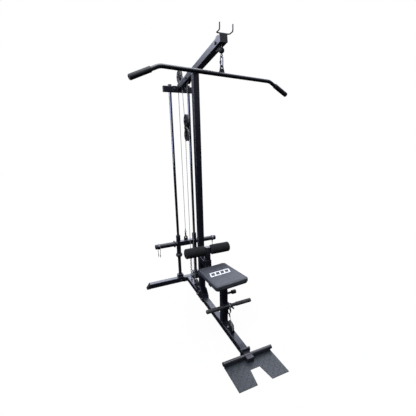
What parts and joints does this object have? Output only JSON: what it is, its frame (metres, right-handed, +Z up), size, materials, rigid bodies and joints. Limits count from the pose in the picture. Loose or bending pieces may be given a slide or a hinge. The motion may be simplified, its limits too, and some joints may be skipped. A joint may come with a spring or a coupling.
{
  "type": "lat pulldown machine",
  "caption": "Plate-loaded lat pulldown with a weight carriage on two guide rods, cable and pulleys, bent bar, square seat, foam thigh rollers and a low row handle.",
  "frame": {"origin": "on the floor, on the axis of the upright post", "axes": "+Z up, +X to the right of a person facing the machine, -Y towards the seat and foot plate"},
  "size_m": [1.1912, 1.509, 2.1286],
  "materials": {
    "frame_paint": "satin black powder coat",
    "plate_paint": "dark grey powder coat on raised lozenge plate",
    "chrome": "polished hard chrome",
    "zinc": "bright zinc plated",
    "cap_plastic": "moulded black plastic",
    "bushing_plastic": "black nylon",
    "pulley_nylon": "black nylon, fine grain",
    "rubber": "black rubber",
    "foam": "closed cell foam, matt",
    "grip_rubber": "ribbed rubber grip",
    "vinyl": "dark grey vinyl",
    "cable": "grey nylon jacket over steel wire"
  },
  "bodies": {
    "frame": {"rear_crossbar": "frame_paint", "tube_end_caps": "cap_plastic", "base_beam": "frame_paint", "joint_flanges": "frame_paint", "foot_bar": "frame_paint", "foot_plate": "plate_paint", "upright_post": "frame_paint", "boom": "frame_paint", "top_crossbeam": "frame_paint", "guide_rods": "chrome", "rod_sockets": "frame_paint", "stop_tubes": "frame_paint", "rubber_bumpers": "rubber", "seat_receiver": "frame_paint", "roller_receiver": "frame_paint", "post_bushings": "bushing_plastic", "bar_hook": "frame_paint", "pulley_brackets": "frame_paint", "pulley_bolts": "zinc", "anchor_chain": "zinc", "frame_bolts": "zinc", "cable_fixed": "cable", "cable_run_carriage": "cable", "cable_runs_upper": "cable", "cable_run_anchor": "cable", "cable_run_low": "cable", "cable_run_lat": "cable", "cable_run_row": "cable"},
    "carriage": {"carriage_frame": "frame_paint", "weight_horns": "frame_paint", "horn_caps": "cap_plastic", "slide_bushings": "bushing_plastic", "carriage_link": "zinc"},
    "pulley_block": {"block_plates": "frame_paint", "block_bolts": "zinc", "cable_block_arcs": "cable"},
    "wheel_rear_top": {"pulley_rear_top": "pulley_nylon"},
    "wheel_mid_top": {"pulley_mid_top": "pulley_nylon"},
    "wheel_front_top": {"pulley_front_top": "pulley_nylon"},
    "wheel_block_upper": {"pulley_block_upper": "pulley_nylon"},
    "wheel_block_lower": {"pulley_block_lower": "pulley_nylon"},
    "wheel_low_rear": {"pulley_low_rear": "pulley_nylon"},
    "wheel_low_front": {"pulley_low_front": "pulley_nylon"},
    "lat_hanger": {"lat_stop_ball": "rubber"},
    "lat_bar": {"lat_link": "zinc", "lat_bar_tube": "frame_paint", "lat_bar_grips": "grip_rubber"},
    "row_hanger": {"row_link": "zinc"},
    "row_handle": {"row_handle_tube": "frame_paint", "row_handle_grips": "grip_rubber"},
    "seat": {"seat_inner_post": "frame_paint", "seat_pad": "vinyl", "seat_bolts": "zinc"},
    "seat_pull_pin": {"seat_pin": "cap_plastic"},
    "thigh_rest": {"roller_inner_post": "frame_paint"},
    "thigh_rest_pin": {"roller_pin": "cap_plastic"},
    "roller_left": {"foam_roller_left": "foam"},
    "roller_right": {"foam_roller_right": "foam"},
    "collar_left": {"spring_collar_left": "chrome"},
    "collar_right": {"spring_collar_right": "chrome"}
  },
  "joints": [
    {"name": "carriage_lift", "type": "slide", "parent": "frame", "child": "carriage", "axis": [0, 0, 1], "range_m": [0, 1], "deforming": ["cable_run_carriage"]},
    {"name": "lat_bar_pull", "type": "slide", "parent": "frame", "child": "lat_hanger", "axis": [0, 0, -1], "range_m": [0, 1], "deforming": ["cable_run_lat"]},
    {"name": "lat_bar_swivel", "type": "hinge", "parent": "lat_hanger", "child": "lat_bar", "pos_m": [0, -0.48, 1.9], "axis": [0, 0, 1], "range_deg": [-75, 60]},
    {"name": "pulley_rear_top_spin", "type": "hinge", "parent": "frame", "child": "wheel_rear_top", "pos_m": [0, 0.397, 2.028], "axis": [1, 0, 0], "range_deg": [0, 1103]},
    {"name": "pulley_mid_top_spin", "type": "hinge", "parent": "frame", "child": "wheel_mid_top", "pos_m": [0, 0.157, 1.97028], "axis": [1, 0, 0], "range_deg": [0, 1399]},
    {"name": "pulley_front_top_spin", "type": "hinge", "parent": "frame", "child": "wheel_front_top", "pos_m": [0, -0.439, 2.05274], "axis": [1, 0, 0], "range_deg": [0, 1399]},
    {"name": "pulley_block_upper_spin", "type": "hinge", "parent": "pulley_block", "child": "wheel_block_upper", "pos_m": [0, 0.25, 1.64], "axis": [1, 0, 0], "range_deg": [-1103, 0]},
    {"name": "row_handle_pull", "type": "slide", "parent": "frame", "child": "row_hanger", "axis": [0, -0.5, 0.866], "range_m": [0, 0.8], "deforming": ["cable_run_row"]},
    {"name": "block_drop", "type": "slide", "parent": "frame", "child": "pulley_block", "axis": [0, 0, -1], "range_m": [0, 0.4], "deforming": ["cable_runs_upper", "cable_run_anchor", "cable_run_low"]},
    {"name": "pulley_low_rear_spin", "type": "hinge", "parent": "frame", "child": "wheel_low_rear", "pos_m": [0, 0.157, 0.078], "axis": [1, 0, 0], "range_deg": [-1119, 0]},
    {"name": "pulley_low_front_spin", "type": "hinge", "parent": "frame", "child": "wheel_low_front", "pos_m": [0, -0.577, 0.078], "axis": [1, 0, 0], "range_deg": [-1119, 0]},
    {"name": "pulley_block_lower_spin", "type": "hinge", "parent": "pulley_block", "child": "wheel_block_lower", "pos_m": [0, 0.25, 1.52], "axis": [1, 0, 0], "range_deg": [0, 442]},
    {"name": "row_handle_spin", "type": "hinge", "parent": "row_hanger", "child": "row_handle", "pos_m": [0, -0.562, 0.249], "axis": [1, 0, 0], "continuous": true},
    {"name": "seat_height", "type": "slide", "parent": "frame", "child": "seat", "axis": [0, 0, 1], "range_m": [-0.05, 0.1]},
    {"name": "seat_pin_pull", "type": "slide", "parent": "frame", "child": "seat_pull_pin", "axis": [1, 0, 0], "range_m": [0, 0.015], "stiffness_N_per_m": 900, "springref_m": -0.012},
    {"name": "thigh_rest_height", "type": "slide", "parent": "frame", "child": "thigh_rest", "axis": [0, 0, 1], "range_m": [-0.05, 0.05]},
    {"name": "thigh_rest_pin_pull", "type": "slide", "parent": "frame", "child": "thigh_rest_pin", "axis": [0, -1, 0], "range_m": [0, 0.015], "stiffness_N_per_m": 700, "springref_m": -0.012},
    {"name": "roller_left_spin", "type": "hinge", "parent": "thigh_rest", "child": "roller_left", "pos_m": [-0.12, -0.157, 0.552], "axis": [1, 0, 0], "continuous": true},
    {"name": "collar_left_slide", "type": "slide", "parent": "carriage", "child": "collar_left", "axis": [-1, 0, 0], "range_m": [-0.14, 0.007]},
    {"name": "roller_right_spin", "type": "hinge", "parent": "thigh_rest", "child": "roller_right", "pos_m": [0.12, -0.157, 0.552], "axis": [1, 0, 0], "continuous": true},
    {"name": "collar_right_slide", "type": "slide", "parent": "carriage", "child": "collar_right", "axis": [1, 0, 0], "range_m": [-0.14, 0.007]}
  ],
  "couplings": [
    {"joint": "lat_bar_pull", "follows": "carriage_lift", "ratio": 1},
    {"joint": "pulley_rear_top_spin", "follows": "carriage_lift", "rad_per_m": 19.231},
    {"joint": "pulley_mid_top_spin", "follows": "carriage_lift", "rad_per_m": 24.39},
    {"joint": "pulley_front_top_spin", "follows": "carriage_lift", "rad_per_m": 24.39},
    {"joint": "pulley_block_upper_spin", "follows": "carriage_lift", "rad_per_m": -19.231},
    {"joint": "block_drop", "follows": "row_handle_pull", "ratio": 0.5},
    {"joint": "pulley_low_rear_spin", "follows": "row_handle_pull", "rad_per_m": -24.39},
    {"joint": "pulley_low_front_spin", "follows": "row_handle_pull", "rad_per_m": -24.39},
    {"joint": "pulley_block_lower_spin", "follows": "row_handle_pull", "rad_per_m": 9.6154}
  ]
}
